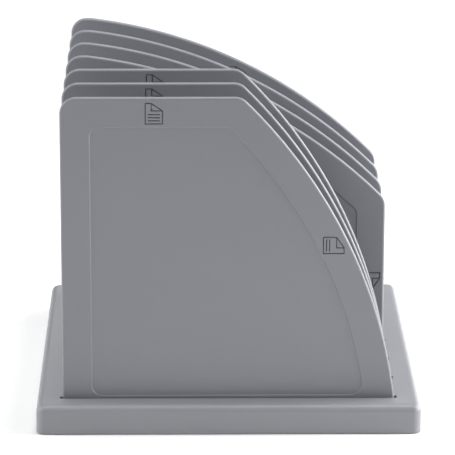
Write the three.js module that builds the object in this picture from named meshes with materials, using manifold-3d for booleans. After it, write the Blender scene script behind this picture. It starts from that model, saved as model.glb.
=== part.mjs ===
// Desktop paper sorter: a shallow square base with seven upright dividers.
// The base is a hollow top moulding closed from below by a floor plate on four rubber feet.
// The top moulding is made here as simple pieces that meet along the ends and sides of
// its slots: a rail along each side, and a bar in front of, between and behind the slots.
// Each divider is the same square moulding with one swept corner.  It stands in a slot
// of the base and can be plugged in two ways: tall side left with a flat top, or turned
// over about its diagonal with the long curve on top.  The front three stand the first
// way, the rear four the second way.
// Millimetres.  Origin at the bottom centre, +Z up, front towards -Y.

import * as THREE from 'three';
import { mergeVertices } from 'three/addons/utils/BufferGeometryUtils.js';
import Module from 'manifold-3d';

const wasm = await Module();
wasm.setup();

// ---- base ---------------------------------------------------------------
const BASE_W = 347;          // left to right
const BASE_D = 368;          // front to back
const RIM_Z = 0.5;           // lower edge of the shell above the table
const TOP_Z = 27;            // upper face of the base
const WALL = 2.5;            // moulded wall thickness
const PLAN_R = 8;            // upright corners of the shell
const EDGE_R = 7;            // rounded upper edge of the shell
const FLOOR_T = 2;           // floor plate inside the lower edge of the moulding

// ---- slots and dividers -------------------------------------------------
const DIVIDERS = 7;
const FIRST_TURNED = 3;      // from this divider on they stand turned over
const PITCH = 53;            // slot to slot
const PLATE = 300;           // side of the square divider
const PLATE_T = 5;           // its thickness
const SEAT = 20;             // how deep a divider sits in the base
const SWEEP_STEPS = 30;
const CORNER_STEPS = 7;
const PLATE_EDGE_R = 2.2;    // rounded rim of a divider
const FLAT_TOP = 161;        // straight run from the tall corner to the sweep
const SWEEP_R = 470;         // radius of the swept corner
const SWEEP_JOINT_R = 15;    // rounding where the flat run meets the sweep
const CORNER_R = 15;         // the two far corners
const HEEL_R = 3;            // the corner that is always in the slot
const SLOT_W = 6;
const SLOT_L = 304.5;
const SEAT_GAP = 0.3;        // clearance under a seated divider

// ---- recessed panel on both faces of a divider --------------------------
const PANEL_STEP = 0.7;      // how far the panel lies below the border
const BORDER_FOOT = 22.5;    // border along the plug-in side that takes the tall way up
const BORDER_BACK = 26.5;    // border along the other plug-in side
const BORDER_FREE_SIDE = 27; // border along the other sides
const PANEL_R = 9;           // panel corners
const PANEL_TOE_R = 11;      // panel corner where the sweep runs out

// ---- sheet signs --------------------------------------------------------
const SIGN_W = 16.2;
const SIGN_H = 19.6;
const SIGN_LINE = 1;
const SIGN_CUT = 0.6;        // depth of the engraving
const SIGN_FOLD_W = 9.9;     // folded corner of the sheet
const SIGN_FOLD_H = 6.8;
const SIGN_RULE_L = 10;      // writing lines on the sheet
const SIGN_RULE_STEP = 2.8;
const SIGN_RULE_FOOT = 2.8;  // lowest writing line above the foot of the sheet
const TALL_SIGN_RULES = 3;
const LOW_SIGN_RULES = 2;
const TALL_SIGN = [83.5, 285.5]; // place of the sign for the tall way up, front face
const TALL_SIGN_REAR = [81, 286.5]; // and on the rear face
const LOW_SIGN = [243.5, 164]; // place of the sign for the turned way up, front face
const LOW_SIGN_REAR = [242.5, 163.5];

// ---- feet ---------------------------------------------------------------
const FOOT_X = 160;
const FOOT_Y = 172.5;
const FOOT_R = 6;
const FOOT_STEM_R = 2.6;     // the stem goes up through the floor plate
const FOOT_STEM_H = 4.6;
const FOOT_BEVEL = 0.6;
const FIT_GAP = 0.3;         // between pieces that touch

// ---- heights that follow ------------------------------------------------
const FLOOR_TOP = TOP_Z - SEAT - SEAT_GAP;
const FLOOR_LOW = FLOOR_TOP - FLOOR_T;
const FOOT_PAD_H = FLOOR_LOW - FIT_GAP;
const PAST = 1;              // how far a cutting solid runs past the face it opens

const GREY = new THREE.Color(0.235, 0.25, 0.265);
const RUBBER = new THREE.Color(0.03, 0.03, 0.032);

// ---- solids -------------------------------------------------------------

function solid(geometry) {
  const g = geometry.clone();
  g.deleteAttribute('normal');
  g.deleteAttribute('uv');
  const m = mergeVertices(g, 1e-4);
  return new wasm.Manifold(new wasm.Mesh({
    numProp: 3,
    vertProperties: Float32Array.from(m.attributes.position.array),
    triVerts: Uint32Array.from(m.index.array),
  }));
}

function geometryOf(manifold) {
  const mesh = manifold.getMesh();
  const g = new THREE.BufferGeometry();
  g.setAttribute('position', new THREE.BufferAttribute(Float32Array.from(mesh.vertProperties), 3));
  g.setIndex(new THREE.BufferAttribute(Uint32Array.from(mesh.triVerts), 1));
  return g;
}

function block(w, d, h, x, y, z) {
  const g = new THREE.BoxGeometry(w, d, h);
  g.translate(x, y, z);
  return solid(g);
}

// Outline from corner points, each corner rounded by its own radius.
function roundedOutline(corners, steps) {
  const points = [];
  const n = corners.length;
  for (let i = 0; i < n; i += 1) {
    const p = corners[i];
    const before = new THREE.Vector2().subVectors(corners[(i + n - 1) % n].at, p.at).normalize();
    const after = new THREE.Vector2().subVectors(corners[(i + 1) % n].at, p.at).normalize();
    if (!p.r) {
      points.push(p.at.clone());
      continue;
    }
    const half = Math.acos(THREE.MathUtils.clamp(before.dot(after), -1, 1)) / 2;
    const run = p.r / Math.tan(half);
    const centre = new THREE.Vector2().addVectors(before, after).normalize();
    centre.multiplyScalar(p.r / Math.sin(half)).add(p.at);
    const from = before.clone().multiplyScalar(run).add(p.at).sub(centre);
    const to = after.clone().multiplyScalar(run).add(p.at).sub(centre);
    const turn = Math.atan2(from.x * to.y - from.y * to.x, from.dot(to));
    for (let k = 0; k <= steps; k += 1) {
      const a = (turn * k) / steps;
      points.push(new THREE.Vector2(
        centre.x + from.x * Math.cos(a) - from.y * Math.sin(a),
        centre.y + from.x * Math.sin(a) + from.y * Math.cos(a),
      ));
    }
  }
  return points;
}

function rectangle(w, d, r, steps) {
  const at = (x, y) => ({ at: new THREE.Vector2(x, y), r });
  return roundedOutline([at(-w / 2, -d / 2), at(w / 2, -d / 2), at(w / 2, d / 2), at(-w / 2, d / 2)], steps);
}

// A tray-shaped outside or inside: upright walls with a rounded upper edge.
function domedBlock(w, d, planR, edgeR, bottom, top) {
  const g = new THREE.ExtrudeGeometry(new THREE.Shape(rectangle(w, d, planR, 10)), {
    depth: top - bottom,
    bevelEnabled: true,
    bevelThickness: edgeR,
    bevelSize: edgeR,
    bevelOffset: -edgeR,
    bevelSegments: 6,
  });
  g.translate(0, 0, bottom - edgeR);
  const lowerPart = block(w + 2 * PAST, d + 2 * PAST, 4 * edgeR, 0, 0, bottom - 2 * edgeR);
  return solid(g).subtract(lowerPart);
}

// ---- divider ------------------------------------------------------------

// Centre of the sweep: a circle of the given radius through the end of the flat run
// and the point where the divider leaves the base.
function sweepCentre() {
  const a = new THREE.Vector2(FLAT_TOP, PLATE);
  const b = new THREE.Vector2(PLATE, SEAT);
  const chord = new THREE.Vector2().subVectors(b, a);
  const half = chord.length() / 2;
  const rise = Math.sqrt(SWEEP_R * SWEEP_R - half * half);
  const inward = new THREE.Vector2(chord.y, -chord.x).normalize();
  return a.clone().add(b).multiplyScalar(0.5).add(inward.multiplyScalar(rise));
}

const SWEEP_C = sweepCentre();

// Point of the sweep, drawn in by an inset, at an angle about the sweep's centre.
function onSweep(inset, angle) {
  const r = SWEEP_R - inset;
  return new THREE.Vector2(SWEEP_C.x + r * Math.cos(angle), SWEEP_C.y + r * Math.sin(angle));
}

// Angle at which the drawn-in sweep reaches a height.
function sweepAngle(inset, height) {
  return Math.asin((height - SWEEP_C.y) / (SWEEP_R - inset));
}

// Sweep between two heights as a run of plain corners, without its end points.
// skip leaves room at the lower end for a rounded corner.
function sweepRun(inset, low, high, skip) {
  const from = sweepAngle(inset, low);
  const to = sweepAngle(inset, high);
  const run = [];
  for (let k = skip; k < SWEEP_STEPS - 1; k += 1) {
    run.push({ at: onSweep(inset, from + ((to - from) * k) / SWEEP_STEPS), r: 0 });
  }
  return run;
}

function plateOutline() {
  return roundedOutline([
    { at: new THREE.Vector2(0, 0), r: HEEL_R },
    { at: new THREE.Vector2(PLATE, 0), r: CORNER_R },
    ...sweepRun(0, SEAT, PLATE, 0),
    { at: new THREE.Vector2(FLAT_TOP, PLATE), r: SWEEP_JOINT_R },
    { at: new THREE.Vector2(0, PLATE), r: CORNER_R },
  ], CORNER_STEPS);
}

function panelOutline() {
  const back = BORDER_BACK;
  const low = BORDER_FOOT;
  const top = PLATE - BORDER_FREE_SIDE;
  const toe = onSweep(BORDER_FREE_SIDE, sweepAngle(BORDER_FREE_SIDE, low));
  const joint = onSweep(BORDER_FREE_SIDE, sweepAngle(BORDER_FREE_SIDE, top));
  return roundedOutline([
    { at: new THREE.Vector2(back, low), r: PANEL_R },
    { at: toe, r: PANEL_TOE_R },
    ...sweepRun(BORDER_FREE_SIDE, low, top, 3),
    { at: joint, r: PANEL_R },
    { at: new THREE.Vector2(back, top), r: PANEL_R },
  ], CORNER_STEPS);
}

function plateSolid() {
  const g = new THREE.ExtrudeGeometry(new THREE.Shape(plateOutline()), {
    depth: PLATE_T - 2 * PLATE_EDGE_R,
    bevelEnabled: true,
    bevelThickness: PLATE_EDGE_R,
    bevelSize: PLATE_EDGE_R,
    bevelOffset: -PLATE_EDGE_R,
    bevelSegments: 3,
  });
  g.translate(0, 0, -PLATE_T / 2 + PLATE_EDGE_R);
  return solid(g);
}

function panelCutter(side) {
  const g = new THREE.ExtrudeGeometry(new THREE.Shape(panelOutline()), {
    depth: PLATE_T,
    bevelEnabled: false,
  });
  g.translate(0, 0, side * (PLATE_T - PANEL_STEP) - PLATE_T / 2);
  return solid(g);
}

// A straight engraved line between two points of the sign.
function stroke(ax, ay, bx, by) {
  const length = Math.hypot(bx - ax, by - ay) + SIGN_LINE;
  const g = new THREE.BoxGeometry(length, SIGN_LINE, 2 * SIGN_CUT);
  g.rotateZ(Math.atan2(by - ay, bx - ax));
  g.translate((ax + bx) / 2, (ay + by) / 2, 0);
  return solid(g);
}

// Sheet with a folded corner and a few writing lines, upright about its own centre.
function sheetSign(rules) {
  const w = SIGN_W / 2 - SIGN_LINE / 2;
  const h = SIGN_H / 2 - SIGN_LINE / 2;
  const foldX = w - SIGN_FOLD_W;
  const foldY = h - SIGN_FOLD_H;
  let sign = stroke(-w, -h, w, -h);
  sign = sign.add(stroke(w, -h, w, foldY));
  sign = sign.add(stroke(w, foldY, foldX, h));
  sign = sign.add(stroke(foldX, h, -w, h));
  sign = sign.add(stroke(-w, h, -w, -h));
  sign = sign.add(stroke(foldX, h, foldX, foldY));
  sign = sign.add(stroke(foldX, foldY, w, foldY));
  for (let i = 0; i < rules; i += 1) {
    const y = -h + SIGN_RULE_FOOT + i * SIGN_RULE_STEP;
    sign = sign.add(stroke(-SIGN_RULE_L / 2, y, SIGN_RULE_L / 2, y));
  }
  return sign;
}

// Puts a sign on one face.  right and up are the sign's own directions on the face.
function placeSign(sign, place, right, up, side) {
  const m = new THREE.Matrix4().makeBasis(
    new THREE.Vector3(right[0], right[1], 0),
    new THREE.Vector3(up[0], up[1], 0),
    new THREE.Vector3(0, 0, right[0] * up[1] - right[1] * up[0]),
  );
  m.setPosition(place[0], place[1], (side * PLATE_T) / 2);
  return sign.transform(m.elements);
}

function dividerSolid() {
  const tall = sheetSign(TALL_SIGN_RULES);
  const low = sheetSign(LOW_SIGN_RULES);
  let plate = plateSolid();
  plate = plate.subtract(panelCutter(1));
  plate = plate.subtract(panelCutter(-1));
  plate = plate.subtract(placeSign(tall, TALL_SIGN, [1, 0], [0, 1], 1));
  plate = plate.subtract(placeSign(tall, TALL_SIGN_REAR, [-1, 0], [0, 1], -1));
  plate = plate.subtract(placeSign(low, LOW_SIGN, [0, 1], [1, 0], 1));
  plate = plate.subtract(placeSign(low, LOW_SIGN_REAR, [0, 1], [1, 0], -1));
  return plate;
}

function slotY(i) {
  return (i - (DIVIDERS - 1) / 2) * PITCH;
}

// How a divider stands up.  Turned over means its two plug-in sides change places.
function dividerStand(turned) {
  const x = new THREE.Vector3(1, 0, 0);
  const z = new THREE.Vector3(0, 0, 1);
  const front = new THREE.Vector3(0, -1, 0);
  const rear = new THREE.Vector3(0, 1, 0);
  if (turned) {
    return new THREE.Matrix4().makeBasis(z, x, rear);
  }
  return new THREE.Matrix4().makeBasis(x, z, front);
}

// ---- base ---------------------------------------------------------------

function uprightBlock(w, d, planR, bottom, top) {
  const g = new THREE.ExtrudeGeometry(new THREE.Shape(rectangle(w, d, planR, 10)), {
    depth: top - bottom,
    bevelEnabled: false,
  });
  g.translate(0, 0, bottom);
  return solid(g);
}

function column(xLow, xHigh, yLow, yHigh) {
  const w = xHigh - xLow;
  const d = yHigh - yLow;
  return block(w, d, 3 * TOP_Z, (xLow + xHigh) / 2, (yLow + yHigh) / 2, 0);
}

const outside = domedBlock(BASE_W, BASE_D, PLAN_R, EDGE_R, RIM_Z, TOP_Z);
const insideW = BASE_W - 2 * WALL;
const insideD = BASE_D - 2 * WALL;
const inside = domedBlock(insideW, insideD, PLAN_R - WALL, EDGE_R - WALL, RIM_Z - PAST, TOP_Z - WALL);
const floorRoom = uprightBlock(insideW, insideD, PLAN_R - WALL, RIM_Z - PAST, FLOOR_TOP + FIT_GAP);

// One piece of the top moulding, between two X and two Y limits: an upside-down trough
// with a wall on every side, cut short where the floor plate lies.
function mouldingPiece(xLow, xHigh, yLow, yHigh) {
  const piece = outside.intersect(column(xLow, xHigh, yLow, yHigh));
  const hollow = inside.intersect(column(xLow + WALL, xHigh - WALL, yLow + WALL, yHigh - WALL));
  return piece.subtract(hollow).subtract(floorRoom);
}

function floorSolid() {
  let floor = uprightBlock(
    insideW - 2 * FIT_GAP, insideD - 2 * FIT_GAP, PLAN_R - WALL - FIT_GAP, FLOOR_LOW, FLOOR_TOP,
  );
  const r = FOOT_STEM_R + FIT_GAP;
  for (const sx of [-1, 1]) {
    for (const sy of [-1, 1]) {
      const hole = new THREE.CylinderGeometry(r, r, FLOOR_T + 2 * PAST, 24);
      hole.rotateX(Math.PI / 2);
      hole.translate(sx * FOOT_X, sy * FOOT_Y, (FLOOR_LOW + FLOOR_TOP) / 2);
      floor = floor.subtract(solid(hole));
    }
  }
  return floor;
}

function footGeometry() {
  const profile = [
    new THREE.Vector2(0, 0),
    new THREE.Vector2(FOOT_R - FOOT_BEVEL, 0),
    new THREE.Vector2(FOOT_R, FOOT_BEVEL),
    new THREE.Vector2(FOOT_R, FOOT_PAD_H),
    new THREE.Vector2(FOOT_STEM_R, FOOT_PAD_H),
    new THREE.Vector2(FOOT_STEM_R, FOOT_PAD_H + FOOT_STEM_H - FOOT_BEVEL),
    new THREE.Vector2(FOOT_STEM_R - FOOT_BEVEL, FOOT_PAD_H + FOOT_STEM_H),
    new THREE.Vector2(0, FOOT_PAD_H + FOOT_STEM_H),
  ];
  const g = new THREE.LatheGeometry(profile, 32);
  g.rotateX(Math.PI / 2);
  return geometryOf(solid(g));
}

// ---- assembly -----------------------------------------------------------

function plastic() {
  return new THREE.MeshStandardMaterial({ color: GREY, roughness: 0.5, metalness: 0 });
}

function rubber() {
  return new THREE.MeshStandardMaterial({ color: RUBBER, roughness: 0.85, metalness: 0 });
}

function named(geometry, material, name) {
  const mesh = new THREE.Mesh(geometry, material);
  mesh.name = name;
  return mesh;
}

const sorter = new THREE.Group();
sorter.name = 'paper_sorter';

// Limits past the outside, where the outside itself and its own wall bound a piece.
const openX = BASE_W / 2 + WALL + PAST;
const openY = BASE_D / 2 + WALL + PAST;
const slotEnd = SLOT_L / 2;
const barEnd = slotEnd - FIT_GAP;
const leftRail = mouldingPiece(-openX, -slotEnd, -openY, openY);
const rightRail = mouldingPiece(slotEnd, openX, -openY, openY);
sorter.add(named(geometryOf(leftRail), plastic(), 'base_rail_left'));
sorter.add(named(geometryOf(rightRail), plastic(), 'base_rail_right'));
for (let i = 0; i <= DIVIDERS; i += 1) {
  const front = i === 0 ? -openY : slotY(i - 1) + SLOT_W / 2;
  const rear = i === DIVIDERS ? openY : slotY(i) - SLOT_W / 2;
  const bar = mouldingPiece(-barEnd, barEnd, front, rear);
  sorter.add(named(geometryOf(bar), plastic(), `base_bar_${i + 1}`));
}
sorter.add(named(geometryOf(floorSolid()), plastic(), 'base_floor'));

const dividerGeometry = geometryOf(dividerSolid());
for (let i = 0; i < DIVIDERS; i += 1) {
  const divider = named(dividerGeometry, plastic(), `divider_${i + 1}`);
  divider.setRotationFromMatrix(dividerStand(i >= FIRST_TURNED));
  divider.position.set(-PLATE / 2, slotY(i), TOP_Z - SEAT);
  sorter.add(divider);
}

const padGeometry = footGeometry();
const sides = [['left', -1], ['right', 1]];
const ends = [['front', -1], ['rear', 1]];
for (const [endName, sy] of ends) {
  for (const [sideName, sx] of sides) {
    const foot = named(padGeometry, rubber(), `foot_${endName}_${sideName}`);
    foot.position.set(sx * FOOT_X, sy * FOOT_Y, 0);
    sorter.add(foot);
  }
}

export default sorter;
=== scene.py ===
"""Desktop paper sorter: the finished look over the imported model.

Seven copies of one divider moulding stand in the slots of a hollow base on four rubber
feet. Every moulding is built in millimetres and then brought to metres. The materials and
the studio are in metres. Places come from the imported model's boxes.
"""

import math

import bmesh
import bpy
from mathutils import Matrix, Vector


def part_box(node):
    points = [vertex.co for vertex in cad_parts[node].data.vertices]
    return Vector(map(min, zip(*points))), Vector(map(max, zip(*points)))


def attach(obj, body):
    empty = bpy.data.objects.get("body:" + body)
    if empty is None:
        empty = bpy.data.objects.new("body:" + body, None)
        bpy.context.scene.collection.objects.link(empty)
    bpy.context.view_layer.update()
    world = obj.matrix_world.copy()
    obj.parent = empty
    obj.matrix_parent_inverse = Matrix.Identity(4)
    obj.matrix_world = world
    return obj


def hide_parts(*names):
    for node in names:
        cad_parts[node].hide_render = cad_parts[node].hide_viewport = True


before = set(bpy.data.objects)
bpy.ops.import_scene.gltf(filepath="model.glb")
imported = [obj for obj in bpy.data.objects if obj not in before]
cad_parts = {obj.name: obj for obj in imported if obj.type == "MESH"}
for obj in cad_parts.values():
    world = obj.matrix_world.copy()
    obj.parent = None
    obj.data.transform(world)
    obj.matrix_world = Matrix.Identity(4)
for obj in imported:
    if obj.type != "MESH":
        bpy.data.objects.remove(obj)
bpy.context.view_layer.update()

MM = 0.001

# ---- sizes of the mouldings, in millimetres ---------------------------------

SHELL_PLAN_R = 8.0
SHELL_EDGE_R = 7.0
SHELL_WALL = 2.5
SHELL_RIM_R = 0.4          # softened lower edge
POCKET_WALL = 2.5
SLOT_W = 6.0
SLOT_L = 304.5
SLOT_LIP_R = 0.45          # softened mouth of a slot
SLOT_END_R = 0.6           # corners of a slot seen from above

PLATE_RIM_R = 2.2
FLAT_TOP = 161.0           # length of the straight run before the sweep
SWEEP_R = 470.0
SWEEP_JOINT_R = 15.0
CORNER_R = 15.0
HEEL_R = 3.0               # where the two plug-in sides meet

PANEL_STEP = 0.7
PANEL_WALL_W = 1.1         # the panel's edge slopes down over this width
BORDER_FOOT = 22.5         # along the plug-in side that takes the tall way up
BORDER_BACK = 26.5         # along the other plug-in side
BORDER_FREE_SIDE = 27.0
PANEL_R = 9.0
PANEL_TOE_R = 11.0

SIGN_W = 16.2
SIGN_H = 19.6
SIGN_LINE = 1.0
SIGN_FLOOR_LINE = 0.8      # a groove narrows towards its floor
SIGN_CUT = 1.0
SIGN_PAINTED_SHADE = 0.5           # painted shade: brightness left on the floor of a groove
SIGN_FOLD_W = 9.9
SIGN_FOLD_H = 6.8
SIGN_RULE_L = 10.0
SIGN_RULE_STEP = 2.8
SIGN_RULE_FOOT = 2.8
TALL_SIGN = (83.5, 285.5)  # a sign's centre, measured from the heel
TALL_SIGN_REAR = (81.0, 286.5)
TALL_SIGN_RULES = 3
LOW_SIGN = (243.5, 164.0)
LOW_SIGN_REAR = (242.5, 163.5)
LOW_SIGN_RULES = 2

FLOOR_EDGE_R = 0.5
FOOT_STEM_R = 2.6
FOOT_STEM_H = 4.6
FOOT_EDGE_R = 0.7
FOOT_INNER_RING = 0.35     # share of a foot's radius
FIT_GAP = 0.3

PAST = 1.0                 # a cutting solid runs this far past the face it opens

# ---- how finely the curves are divided --------------------------------------

SWEEP_STEPS = 110
SWEEP_SKIP = 2             # steps left free for the rounded joint at the sweep's upper end
PANEL_TOE_SKIP = 10        # the same at the foot of the panel's sweep
ROUND_STEPS = 14           # corners of the large outlines
PLATE_RIM_STEPS = 8
PANEL_WALL_STEPS = 10
SHELL_EDGE_STEPS = 14
SOFT_EDGE_STEPS = 3        # lower edge of the base and both edges of its floor plate
SLOT_END_STEPS = 6
SLOT_LIP_STEPS = 4
STROKE_END_STEPS = 3
FOOT_EDGE_STEPS = 5
FOOT_SHOULDER_STEPS = 3
FOOT_STEM_STEPS = 4
FOOT_SIDES = 56
HOLE_SIDES = 48

MITRE_LIMIT = 0.3          # keeps a sharp corner from moving too far when it is drawn in
PLASTIC_SHADE_DEG = 40.0   # edges flatter than this are shaded round
RUBBER_SHADE_DEG = 50.0

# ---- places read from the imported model, in millimetres ----------------------


def box_mm(node):
    low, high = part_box(node)
    return [v / MM for v in low], [v / MM for v in high]


RAIL_LEFT_LOW, _ = box_mm("base_rail_left")
_, RAIL_RIGHT_HIGH = box_mm("base_rail_right")
SHELL_W = RAIL_RIGHT_HIGH[0] - RAIL_LEFT_LOW[0]
SHELL_D = RAIL_RIGHT_HIGH[1] - RAIL_LEFT_LOW[1]
RIM_Z = RAIL_LEFT_LOW[2]
TOP_Z = RAIL_RIGHT_HIGH[2]
FLOOR_BOX_LOW, FLOOR_BOX_HIGH = box_mm("base_floor")
MOULDING_PREFIXES = ("base_bar_", "base_rail_")
MOULDING_NODES = sorted(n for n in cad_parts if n.startswith(MOULDING_PREFIXES))

DIVIDERS = sorted(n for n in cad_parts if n.startswith("divider_"))
FIRST_TURNED = 3           # from this one on the dividers stand turned over
PLATE_LOW, PLATE_HIGH = box_mm(DIVIDERS[0])
PLATE = PLATE_HIGH[2] - PLATE_LOW[2]
PLATE_T = PLATE_HIGH[1] - PLATE_LOW[1]
SEAT = TOP_Z - PLATE_LOW[2]    # how deep a divider sits in the base
FEET = sorted(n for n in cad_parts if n.startswith("foot_"))


def middle(node, axis):
    low, high = box_mm(node)
    return (low[axis] + high[axis]) / 2


SLOT_YS = [middle(n, 1) for n in DIVIDERS]

# ---- outlines ---------------------------------------------------------------


def rounded(corners, steps):
    """Closed outline, counter-clockwise, from (x, y, radius) corners."""
    points = []
    count = len(corners)
    for i, (x, y, radius) in enumerate(corners):
        at = Vector((x, y))
        if not radius:
            points.append(at)
            continue
        before = (Vector(corners[i - 1][:2]) - at).normalized()
        after = (Vector(corners[(i + 1) % count][:2]) - at).normalized()
        half = math.acos(max(-1.0, min(1.0, before.dot(after)))) / 2
        centre = at + (before + after).normalized() * (radius / math.sin(half))
        run = radius / math.tan(half)
        start = at + before * run - centre
        stop = at + after * run - centre
        turn = math.atan2(start.x * stop.y - start.y * stop.x, start.dot(stop))
        for k in range(steps + 1):
            points.append(centre + Matrix.Rotation(turn * k / steps, 2) @ start)
    return points


def inset(points, depth):
    """The outline moved inwards by depth, corner by corner."""
    moved = []
    count = len(points)
    for i, p in enumerate(points):
        a = (p - points[i - 1]).normalized()
        b = (points[(i + 1) % count] - p).normalized()
        inward = Vector((-a.y - b.y, a.x + b.x)).normalized()
        lean = max(MITRE_LIMIT, inward.dot(Vector((-a.y, a.x))))
        moved.append(p + inward * (depth / lean))
    return moved


def rectangle(w, d, radius, steps, y=0.0):
    signs = ((-1, -1), (1, -1), (1, 1), (-1, 1))
    return rounded([(sx * w / 2, y + sy * d / 2, radius) for sx, sy in signs], steps)


def circle(x, y, radius, sides):
    turns = [2 * math.pi * k / sides for k in range(sides)]
    return [Vector((x + radius * math.cos(a), y + radius * math.sin(a))) for a in turns]


def sweep_centre():
    """Centre of the circle through the flat top's end and the point at the slot's mouth."""
    a = Vector((FLAT_TOP, PLATE))
    b = Vector((PLATE, SEAT))
    chord = b - a
    rise = math.sqrt(SWEEP_R**2 - (chord.length / 2) ** 2)
    return (a + b) / 2 + Vector((chord.y, -chord.x)).normalized() * rise


SWEEP_C = sweep_centre()


def sweep_run(depth, low, high, skip_low, skip_high):
    """Points on the drawn-in sweep between two heights, ends left out."""
    r = SWEEP_R - depth
    a0 = math.asin((low - SWEEP_C.y) / r)
    a1 = math.asin((high - SWEEP_C.y) / r)
    run = []
    for k in range(skip_low, SWEEP_STEPS - skip_high):
        a = a0 + (a1 - a0) * k / SWEEP_STEPS
        run.append((SWEEP_C.x + r * math.cos(a), SWEEP_C.y + r * math.sin(a), 0.0))
    return run


def plate_outline():
    corners = [(0.0, 0.0, HEEL_R), (PLATE, 0.0, CORNER_R)]
    corners += sweep_run(0.0, SEAT, PLATE, 0, SWEEP_SKIP)
    corners += [(FLAT_TOP, PLATE, SWEEP_JOINT_R), (0.0, PLATE, CORNER_R)]
    return rounded(corners, ROUND_STEPS)


def panel_outline():
    back = BORDER_BACK
    low = BORDER_FOOT
    top = PLATE - BORDER_FREE_SIDE
    r = SWEEP_R - BORDER_FREE_SIDE
    toe_x = SWEEP_C.x + math.sqrt(r**2 - (low - SWEEP_C.y) ** 2)
    joint_x = SWEEP_C.x + math.sqrt(r**2 - (top - SWEEP_C.y) ** 2)
    corners = [(back, low, PANEL_R), (toe_x, low, PANEL_TOE_R)]
    corners += sweep_run(BORDER_FREE_SIDE, low, top, PANEL_TOE_SKIP, SWEEP_SKIP)
    corners += [(joint_x, top, PANEL_R), (back, top, PANEL_R)]
    return rounded(corners, ROUND_STEPS)


# ---- meshes -----------------------------------------------------------------


def new_object(name, bm):
    mesh = bpy.data.meshes.new(name)
    bm.to_mesh(mesh)
    bm.free()
    obj = bpy.data.objects.new(name, mesh)
    bpy.context.collection.objects.link(obj)
    return obj


def loft(name, loops):
    """Closed solid through equal-length loops of (outline, height), capped at both ends."""
    bm = bmesh.new()
    rings = [[bm.verts.new((p.x, p.y, z)) for p in outline] for outline, z in loops]
    count = len(rings[0])
    for lower, upper in zip(rings, rings[1:]):
        for i in range(count):
            j = (i + 1) % count
            bm.faces.new((lower[i], lower[j], upper[j], upper[i]))
    bm.faces.new(list(reversed(rings[0])))
    bm.faces.new(rings[-1])
    return new_object(name, bm)


def block(name, low, high):
    (x0, y0, z0), (x1, y1, z1) = low, high
    outline = [Vector((x0, y0)), Vector((x1, y0)), Vector((x1, y1)), Vector((x0, y1))]
    return loft(name, [(outline, z0), (outline, z1)])


def join_into(target, tool, operation):
    """target becomes its union with, or difference from, the tool, which is removed."""
    modifier = target.modifiers.new("cut", "BOOLEAN")
    modifier.operation = operation
    modifier.solver = "MANIFOLD"
    modifier.object = tool
    graph = bpy.context.evaluated_depsgraph_get()
    mesh = bpy.data.meshes.new_from_object(target.evaluated_get(graph))
    target.modifiers.clear()
    target.data = mesh
    bpy.data.objects.remove(tool)
    if not mesh.polygons:
        raise RuntimeError(f"{target.name} lost its faces in a {operation}")


def add(target, tool):
    join_into(target, tool, "UNION")


def cut(target, tool):
    join_into(target, tool, "DIFFERENCE")


def quarter_round(radius, steps):
    """(inset, drop) pairs round a convex edge, from the wall to the face."""
    turns = [math.pi / 2 * k / steps for k in range(steps + 1)]
    return [(radius * (1 - math.cos(a)), radius * (1 - math.sin(a))) for a in turns]


def upper_edge(outline, radius, steps, high):
    return [(inset(outline, i), high - drop) for i, drop in quarter_round(radius, steps)]


def lower_edge(outline, radius, steps, low):
    turned = reversed(quarter_round(radius, steps))
    return [(inset(outline, i), low + drop) for i, drop in turned]


def to_metres(obj):
    obj.data.transform(Matrix.Scale(MM, 4))


def finish_mesh(obj, material, angle_deg):
    """Gives it its one material and shades it round, except across the sharper edges."""
    mesh = obj.data
    mesh.materials.clear()
    mesh.materials.append(material)
    mesh.shade_smooth()
    bm = bmesh.new()
    bm.from_mesh(mesh)
    limit = math.radians(angle_deg)
    for edge in bm.edges:
        edge.smooth = len(edge.link_faces) == 2 and edge.calc_face_angle(0.0) < limit
    bm.to_mesh(mesh)
    bm.free()
    weighted = obj.modifiers.new("weighted_normals", "WEIGHTED_NORMAL")
    weighted.keep_sharp = True
    weighted.mode = "FACE_AREA"


# ---- divider ----------------------------------------------------------------


def plate_blank():
    outline = plate_outline()
    upper = upper_edge(outline, PLATE_RIM_R, PLATE_RIM_STEPS, PLATE_T / 2)
    lower = [(o, -z) for o, z in reversed(upper)]
    return loft("divider", lower + upper)


def panel_cutter():
    """Solid that sinks the panel into one face, with a soft slope all round."""
    outline = panel_outline()
    half = PLATE_T / 2
    loops = []
    for k in range(PANEL_WALL_STEPS + 1):
        t = k / PANEL_WALL_STEPS
        rise = t * t * (3 - 2 * t)     # level at both ends of the slope
        z = half - PANEL_STEP * (1 - rise)
        loops.append((inset(outline, PANEL_WALL_W * (0.5 - t)), z))
    loops.append((loops[-1][0], half + PAST))
    return loft("panel_cutter", loops)


def stroke(ax, ay, bx, by):
    """One groove of a sign, narrower at its floor, standing half above the face at z = 0."""
    along = Vector((bx - ax, by - ay))
    middle_at = Vector(((ax + bx) / 2, (ay + by) / 2))
    turn = Matrix.Rotation(math.atan2(along.y, along.x), 2)
    loops = []
    for width, z in ((SIGN_FLOOR_LINE, -SIGN_CUT), (SIGN_LINE, 0.0), (SIGN_LINE, SIGN_CUT)):
        outline = rectangle(along.length + width, width, width / 4, STROKE_END_STEPS)
        loops.append(([middle_at + turn @ p for p in outline], z))
    return loft("stroke", loops)


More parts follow.
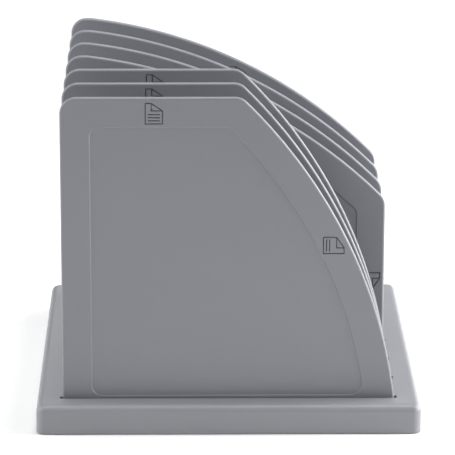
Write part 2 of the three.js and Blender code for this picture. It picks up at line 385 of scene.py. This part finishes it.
def sheet_sign(rules):
    """Sheet with a folded corner and a few writing lines, upright about its own centre."""
    w = SIGN_W / 2 - SIGN_LINE / 2
    h = SIGN_H / 2 - SIGN_LINE / 2
    fold_x = w - SIGN_FOLD_W
    fold_y = h - SIGN_FOLD_H
    corners = [(-w, -h), (w, -h), (w, fold_y), (fold_x, h), (-w, h), (-w, -h)]
    lines = list(zip(corners, corners[1:]))
    lines += [((fold_x, h), (fold_x, fold_y)), ((fold_x, fold_y), (w, fold_y))]
    for i in range(rules):
        y = -h + SIGN_RULE_FOOT + i * SIGN_RULE_STEP
        lines.append(((-SIGN_RULE_L / 2, y), (SIGN_RULE_L / 2, y)))
    sign = stroke(*lines[0][0], *lines[0][1])
    for (ax, ay), (bx, by) in lines[1:]:
        add(sign, stroke(ax, ay, bx, by))
    return sign


def place_sign(sign, place, right, up, side):
    """A copy of the sign on one face. right and up are its directions, side is the face."""
    copy = sign.copy()
    copy.data = sign.data.copy()
    bpy.context.collection.objects.link(copy)
    r = Vector((*right, 0.0))
    u = Vector((*up, 0.0))
    out = Vector((0.0, 0.0, side))
    turn = Matrix((r, u, out)).transposed().to_4x4()
    turn.translation = Vector((*place, side * PLATE_T / 2))
    copy.data.transform(turn)
    if turn.determinant() < 0:
        copy.data.flip_normals()
    return copy


def divider_mesh():
    plate = plate_blank()
    cut(plate, panel_cutter())
    second = panel_cutter()
    second.data.transform(Matrix.Scale(-1.0, 4, (0.0, 0.0, 1.0)))
    second.data.flip_normals()
    cut(plate, second)
    tall = sheet_sign(TALL_SIGN_RULES)
    low = sheet_sign(LOW_SIGN_RULES)
    cut(plate, place_sign(tall, TALL_SIGN, (1, 0), (0, 1), 1))
    cut(plate, place_sign(tall, TALL_SIGN_REAR, (-1, 0), (0, 1), -1))
    cut(plate, place_sign(low, LOW_SIGN, (0, 1), (1, 0), 1))
    cut(plate, place_sign(low, LOW_SIGN_REAR, (0, 1), (1, 0), -1))
    bpy.data.objects.remove(tall)
    bpy.data.objects.remove(low)
    to_metres(plate)
    return plate


def divider_stand(turned):
    """How a divider stands up. Turned over means its two plug-in sides change places."""
    if turned:
        columns = (Vector((0, 0, 1)), Vector((1, 0, 0)), Vector((0, 1, 0)))
    else:
        columns = (Vector((1, 0, 0)), Vector((0, 0, 1)), Vector((0, -1, 0)))
    return Matrix(columns).transposed().to_4x4()


def make_dividers(material):
    first = divider_mesh()
    finish_mesh(first, material, PLASTIC_SHADE_DEG)
    for i, node in enumerate(DIVIDERS):
        piece = first.copy()
        piece.name = f"{node}_moulding"
        bpy.context.collection.objects.link(piece)
        low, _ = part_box(node)
        stand = divider_stand(i >= FIRST_TURNED)
        stand.translation = Vector((low[0], SLOT_YS[i] * MM, low[2]))
        piece.matrix_world = stand
        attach(piece, f"{node}_body")
        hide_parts(node)
    bpy.data.objects.remove(first)


# ---- base -------------------------------------------------------------------


def dome(name, w, d, plan_r, edge_r, low, high, rim_r=0.0):
    """Upright walls with a rounded upper edge, and a softened lower one if asked."""
    outline = rectangle(w, d, plan_r, ROUND_STEPS)
    loops = lower_edge(outline, rim_r, SOFT_EDGE_STEPS, low) if rim_r else [(outline, low)]
    return loft(name, loops + upper_edge(outline, edge_r, SHELL_EDGE_STEPS, high))


def slot_cutter(y):
    """The slot with its softened mouth, open below into the space above the floor plate."""
    outline = rectangle(SLOT_L, SLOT_W, SLOT_END_R, SLOT_END_STEPS, y=y)
    lip = quarter_round(SLOT_LIP_R, SLOT_LIP_STEPS)
    loops = [(outline, FLOOR_BOX_HIGH[2] - PAST)]
    loops += [(inset(outline, -i), TOP_Z - drop) for i, drop in lip]
    loops.append((inset(outline, -SLOT_LIP_R), TOP_Z + PAST))
    return loft("slot_cutter", loops)


def moulding():
    """The whole top of the base: a hollow shell with a walled slot for each divider."""
    wall = SHELL_WALL
    shell = dome("base_moulding", SHELL_W, SHELL_D, SHELL_PLAN_R, SHELL_EDGE_R,
                 RIM_Z, TOP_Z, SHELL_RIM_R)
    hollow = dome("hollow", SHELL_W - 2 * wall, SHELL_D - 2 * wall, SHELL_PLAN_R - wall,
                  SHELL_EDGE_R - wall, RIM_Z - PAST, TOP_Z - wall)
    cut(shell, hollow)
    half_l = SLOT_L / 2 + POCKET_WALL
    half_w = SLOT_W / 2 + POCKET_WALL
    for y in SLOT_YS:
        low = (-half_l, y - half_w, FLOOR_BOX_HIGH[2] + FIT_GAP)
        add(shell, block("slot_wall", low, (half_l, y + half_w, TOP_Z - wall / 2)))
    for y in SLOT_YS:
        cut(shell, slot_cutter(y))
    to_metres(shell)
    return shell


def floor_plate():
    """Plate that closes the base from below, with softened edges and a hole for each foot."""
    w = FLOOR_BOX_HIGH[0] - FLOOR_BOX_LOW[0]
    d = FLOOR_BOX_HIGH[1] - FLOOR_BOX_LOW[1]
    outline = rectangle(w, d, SHELL_PLAN_R - SHELL_WALL - FIT_GAP, ROUND_STEPS)
    low, high = FLOOR_BOX_LOW[2], FLOOR_BOX_HIGH[2]
    loops = lower_edge(outline, FLOOR_EDGE_R, SOFT_EDGE_STEPS, low)
    loops += upper_edge(outline, FLOOR_EDGE_R, SOFT_EDGE_STEPS, high)
    plate = loft("base_floor_plate", loops)
    for node in FEET:
        hole = circle(middle(node, 0), middle(node, 1), FOOT_STEM_R + FIT_GAP, HOLE_SIDES)
        cut(plate, loft("foot_hole", [(hole, low - PAST), (hole, high + PAST)]))
    to_metres(plate)
    return plate


def make_base(material):
    shell = moulding()
    plate = floor_plate()
    for piece in (shell, plate):
        finish_mesh(piece, material, PLASTIC_SHADE_DEG)
        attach(piece, "base")
    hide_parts(*MOULDING_NODES)
    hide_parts("base_floor")


# ---- feet -------------------------------------------------------------------


def foot_profile(radius, top):
    """(radius, height) pairs from inside the flat underside to the stem's top."""
    shoulder = top - FOOT_STEM_H
    toe = quarter_round(FOOT_EDGE_R, FOOT_EDGE_STEPS)
    upper = quarter_round(FOOT_EDGE_R / 2, FOOT_SHOULDER_STEPS)
    tip = quarter_round(FOOT_EDGE_R, FOOT_STEM_STEPS)
    points = [(FOOT_INNER_RING * radius, 0.0)]
    points += [(radius - i, drop) for i, drop in reversed(toe)]
    points += [(radius - i, shoulder - drop) for i, drop in upper]
    points.append((FOOT_STEM_R, shoulder))
    points += [(FOOT_STEM_R - i, top - drop) for i, drop in tip]
    return points


def make_foot(node, material):
    low, high = box_mm(node)
    x, y = middle(node, 0), middle(node, 1)
    profile = foot_profile((high[0] - low[0]) / 2, high[2])
    foot = loft(f"{node}_rubber", [(circle(x, y, r, FOOT_SIDES), z) for r, z in profile])
    to_metres(foot)
    finish_mesh(foot, material, RUBBER_SHADE_DEG)
    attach(foot, "base")
    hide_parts(node)


# ---- materials --------------------------------------------------------------

BASE_COLOUR = (0.250, 0.254, 0.276)
DIVIDER_COLOUR = (0.219, 0.226, 0.249)
TINT_DARK = 0.965          # the plastic's tint wanders between these two
TINT_LIGHT = 1.035
PLASTIC_ROUGHNESS = 0.42
ROUGHNESS_SWING = 0.03
SPECK_SHARE = 0.45
CLOUD_SHARE = 0.55
RUBBER_DARK = (0.018, 0.018, 0.019)
RUBBER_DUSTY = (0.055, 0.054, 0.052)
RUBBER_ROUGHNESS = (0.7, 0.9)

# Patterns: features to the metre, and octaves of detail.
CLOUDS = (9.0, 3.0)
SPECK = (1400.0, 2.0)
GRAIN = (2600.0, 3.0)
SINK = (16.0, 1.0)
DUST = (240.0, 4.0)
SKIN = (1500.0, 3.0)
NOISE_LOW = 0.3            # most of a pattern's values lie between these two
NOISE_HIGH = 0.7

# Relief: height in metres, and strength.
SINK_RELIEF = (0.0006, 0.12)
GRAIN_RELIEF = (0.00006, 0.35)
SKIN_RELIEF = (0.0001, 0.5)

BASE_SEED = 3.0
DIVIDER_SEED = 7.0
DUST_SEED = 11.0
SKIN_SEED = 12.0

FLAT_NORMAL = 0.9          # a groove's floor faces this squarely out of the divider
# Halfway between the panel's face and the floor of a groove; the painted shade goes below it.
GROOVE_FLOOR_Z = (PLATE_T / 2 - (SIGN_CUT + PANEL_STEP) / 2) * MM


def nodes_of(name):
    material = bpy.data.materials.new(name)
    material.use_nodes = True
    tree = material.node_tree
    return material, tree, tree.nodes["Principled BSDF"]


def noise(tree, coords, scale, detail, seed):
    node = tree.nodes.new("ShaderNodeTexNoise")
    node.noise_dimensions = "4D"
    node.inputs["Scale"].default_value = scale
    node.inputs["Detail"].default_value = detail
    node.inputs["W"].default_value = seed
    tree.links.new(coords, node.inputs["Vector"])
    return node.outputs["Fac"]


def spread(tree, value, low, high):
    """The pattern's usual values stretched onto low to high."""
    node = tree.nodes.new("ShaderNodeMapRange")
    node.inputs["From Min"].default_value = NOISE_LOW
    node.inputs["From Max"].default_value = NOISE_HIGH
    node.inputs["To Min"].default_value = low
    node.inputs["To Max"].default_value = high
    tree.links.new(value, node.inputs["Value"])
    return node.outputs["Result"]


def between(tree, value, dark, light):
    """A colour from dark at 0 to light at 1."""
    node = tree.nodes.new("ShaderNodeMix")
    node.data_type = "RGBA"
    ends = {s.identifier: s for s in node.inputs}
    ends["A_Color"].default_value = (*dark, 1.0)
    ends["B_Color"].default_value = (*light, 1.0)
    tree.links.new(value, ends["Factor_Float"])
    return next(s for s in node.outputs if s.identifier == "Result_Color")


def bump(tree, height, distance, strength, under=None):
    node = tree.nodes.new("ShaderNodeBump")
    node.inputs["Strength"].default_value = strength
    node.inputs["Distance"].default_value = distance
    tree.links.new(height, node.inputs["Height"])
    if under is not None:
        tree.links.new(under, node.inputs["Normal"])
    return node.outputs["Normal"]


def compare_z(tree, vector, operation, limit):
    """1 where the size of the vector's z passes the comparison with the limit, else 0."""
    parts = tree.nodes.new("ShaderNodeSeparateXYZ")
    size = tree.nodes.new("ShaderNodeMath")
    size.operation = "ABSOLUTE"
    test = tree.nodes.new("ShaderNodeMath")
    test.operation = operation
    test.inputs[1].default_value = limit
    tree.links.new(vector, parts.inputs[0])
    tree.links.new(parts.outputs["Z"], size.inputs[0])
    tree.links.new(size.outputs[0], test.inputs[0])
    return test.outputs[0]


def paint_shade_in_grooves(tree, coords, colour, floor_z):
    """Paints shade on the flat floors of the engraved signs by darkening their colour."""
    flat = compare_z(tree, coords.outputs["Normal"], "GREATER_THAN", FLAT_NORMAL)
    deep = compare_z(tree, coords.outputs["Object"], "LESS_THAN", floor_z)
    both = tree.nodes.new("ShaderNodeMath")
    both.operation = "MULTIPLY"
    tree.links.new(flat, both.inputs[0])
    tree.links.new(deep, both.inputs[1])
    share = tree.nodes.new("ShaderNodeMapRange")
    share.inputs["To Min"].default_value = 1.0
    share.inputs["To Max"].default_value = SIGN_PAINTED_SHADE
    tree.links.new(both.outputs[0], share.inputs["Value"])
    scaled = tree.nodes.new("ShaderNodeVectorMath")
    scaled.operation = "SCALE"
    tree.links.new(colour, scaled.inputs[0])
    tree.links.new(share.outputs["Result"], scaled.inputs["Scale"])
    return scaled.outputs[0]


def moulded_plastic(name, colour, seed, painted_shade_floor_z=0.0):
    """Satin moulded plastic: faint flow clouds, a fine even grain and slightly uneven gloss,
    with painted shade on the groove floors if asked.
    """
    material, tree, shader = nodes_of(name)
    places = tree.nodes.new("ShaderNodeTexCoord")
    coords = places.outputs["Object"]
    clouds = noise(tree, coords, *CLOUDS, seed)
    speck = noise(tree, coords, *SPECK, seed + 1.0)
    grain = noise(tree, coords, *GRAIN, seed + 2.0)
    sink = noise(tree, coords, *SINK, seed + 3.0)
    both = tree.nodes.new("ShaderNodeMath")
    both.operation = "MULTIPLY_ADD"
    both.inputs[1].default_value = SPECK_SHARE
    tree.links.new(spread(tree, speck, 0.0, 1.0), both.inputs[0])
    tree.links.new(spread(tree, clouds, 0.0, CLOUD_SHARE), both.inputs[2])
    dark = [c * TINT_DARK for c in colour]
    light = [c * TINT_LIGHT for c in colour]
    tint = between(tree, both.outputs[0], dark, light)
    # painted shade: darkens the floors of the sign grooves
    if painted_shade_floor_z:
        tint = paint_shade_in_grooves(tree, places, tint, painted_shade_floor_z)
    tree.links.new(tint, shader.inputs["Base Color"])
    gloss = spread(tree, clouds, PLASTIC_ROUGHNESS - ROUGHNESS_SWING,
                   PLASTIC_ROUGHNESS + ROUGHNESS_SWING)
    tree.links.new(gloss, shader.inputs["Roughness"])
    wave = bump(tree, sink, *SINK_RELIEF)
    tree.links.new(bump(tree, grain, *GRAIN_RELIEF, wave), shader.inputs["Normal"])
    return material


def foot_rubber():
    """Dull black rubber with a coarse skin and a little grey dust."""
    material, tree, shader = nodes_of("rubber")
    coords = tree.nodes.new("ShaderNodeTexCoord").outputs["Object"]
    dust = noise(tree, coords, *DUST, DUST_SEED)
    skin = noise(tree, coords, *SKIN, SKIN_SEED)
    colour = between(tree, spread(tree, dust, 0.0, 1.0), RUBBER_DARK, RUBBER_DUSTY)
    tree.links.new(colour, shader.inputs["Base Color"])
    tree.links.new(spread(tree, dust, *RUBBER_ROUGHNESS), shader.inputs["Roughness"])
    tree.links.new(bump(tree, skin, *SKIN_RELIEF), shader.inputs["Normal"])
    return material


# ---- studio -----------------------------------------------------------------

SOFTBOX_H = 1.1
SOFTBOX_W = 1.1
WIDE_SOFTBOX_W = 2.8
SOFTBOX_DISTANCE = 2.5
SOFTBOX_AIM = (0.0, 0.0, 0.12)

# Name, azimuth and elevation in degrees, watts, width. Azimuth 0 is in front, 90 to the right.
SOFTBOXES = (
    ("right_low", 90, 12, 91.0, WIDE_SOFTBOX_W),
    ("right_middle", 90, 38, 37.0, SOFTBOX_W),
    ("right_rear_low", 135, 12, 22.0, SOFTBOX_W),
    ("rear_low", 180, 12, 5.0, SOFTBOX_W),
    ("left_rear_low", 225, 12, 3.0, SOFTBOX_W),
    ("left_low", 270, 12, 29.5, WIDE_SOFTBOX_W),
    ("left_middle", 270, 38, 19.5, SOFTBOX_W),
    ("front_left", 315, 38, 12.0, SOFTBOX_W),
    ("overhead", 0, 90, 36.0, SOFTBOX_W),
)

WORLD_COLOUR = (0.97, 0.985, 1.0, 1.0)
WORLD_STRENGTH = 0.02

STUDIO_FLOOR_HALF = 12.0
STUDIO_FLOOR_DARK = (0.90, 0.90, 0.90)
STUDIO_FLOOR_LIGHT = (0.92, 0.92, 0.92)
STUDIO_FLOOR_ROUGHNESS = 0.9
STUDIO_FLOOR_SPECULAR = 0.1
MOTTLE = (3.0, 2.0)
MOTTLE_SEED = 21.0

CAMERA_AT = (-0.04295, -2.76408, 0.95944)
CAMERA_DOWN_DEG = 16.511
CAMERA_YAW_DEG = 0.914
CAMERA_ROLL_DEG = 0.150
CAMERA_LENS = 241.25       # millimetres, on a sensor this wide
CAMERA_SENSOR = 36.0
CAMERA_REACH = 60.0


def make_floor():
    bm = bmesh.new()
    bmesh.ops.create_grid(bm, x_segments=1, y_segments=1, size=STUDIO_FLOOR_HALF)
    floor = new_object("studio_floor", bm)
    material, tree, shader = nodes_of("studio_white")
    coords = tree.nodes.new("ShaderNodeTexCoord").outputs["Object"]
    mottle = spread(tree, noise(tree, coords, *MOTTLE, MOTTLE_SEED), 0.0, 1.0)
    colour = between(tree, mottle, STUDIO_FLOOR_DARK, STUDIO_FLOOR_LIGHT)
    tree.links.new(colour, shader.inputs["Base Color"])
    shader.inputs["Roughness"].default_value = STUDIO_FLOOR_ROUGHNESS
    shader.inputs["Specular IOR Level"].default_value = STUDIO_FLOOR_SPECULAR
    floor.data.materials.append(material)


def softbox(name, azimuth, elevation, watts, width):
    """Softbox aimed at the object."""
    data = bpy.data.lights.new(name, "AREA")
    data.shape = "RECTANGLE"
    data.size = width
    data.size_y = SOFTBOX_H
    data.energy = watts
    lamp = bpy.data.objects.new(name, data)
    bpy.context.collection.objects.link(lamp)
    a, e = math.radians(azimuth), math.radians(elevation)
    out = Vector((math.sin(a) * math.cos(e), -math.cos(a) * math.cos(e), math.sin(e)))
    lamp.location = Vector(SOFTBOX_AIM) + out * SOFTBOX_DISTANCE
    lamp.rotation_mode = "QUATERNION"
    lamp.rotation_quaternion = out.to_track_quat("Z", "Y")
    lamp.visible_camera = False


def make_light():
    """Wide softboxes low at the sides, and smaller ones above them, behind, overhead and to
    the front left, in a nearly black world."""
    world = bpy.data.worlds.new("studio")
    world.use_nodes = True
    background = world.node_tree.nodes["Background"]
    background.inputs["Color"].default_value = WORLD_COLOUR
    background.inputs["Strength"].default_value = WORLD_STRENGTH
    bpy.context.scene.world = world
    for lamp in SOFTBOXES:
        softbox(*lamp)
    bpy.context.scene.view_settings.view_transform = "Standard"


def make_camera():
    """Long lens from in front, a little above and a little to the left."""
    data = bpy.data.cameras.new("camera")
    data.sensor_width = CAMERA_SENSOR
    data.lens = CAMERA_LENS
    data.clip_end = CAMERA_REACH
    camera = bpy.data.objects.new("camera", data)
    bpy.context.collection.objects.link(camera)
    camera.location = CAMERA_AT
    down = math.radians(CAMERA_DOWN_DEG)
    yaw = math.radians(CAMERA_YAW_DEG)
    roll = math.radians(CAMERA_ROLL_DEG)
    turn = Matrix.Rotation(-yaw, 4, "Z") @ Matrix.Rotation(math.pi / 2 - down, 4, "X")
    camera.rotation_mode = "QUATERNION"
    camera.rotation_quaternion = (turn @ Matrix.Rotation(roll, 4, "Z")).to_quaternion()
    bpy.context.scene.camera = camera


make_camera()
make_light()
make_floor()
make_base(moulded_plastic("base_grey", BASE_COLOUR, BASE_SEED))
make_dividers(moulded_plastic("divider_grey", DIVIDER_COLOUR, DIVIDER_SEED, GROOVE_FLOOR_Z))
rubber = foot_rubber()
for foot_node in FEET:
    make_foot(foot_node, rubber)
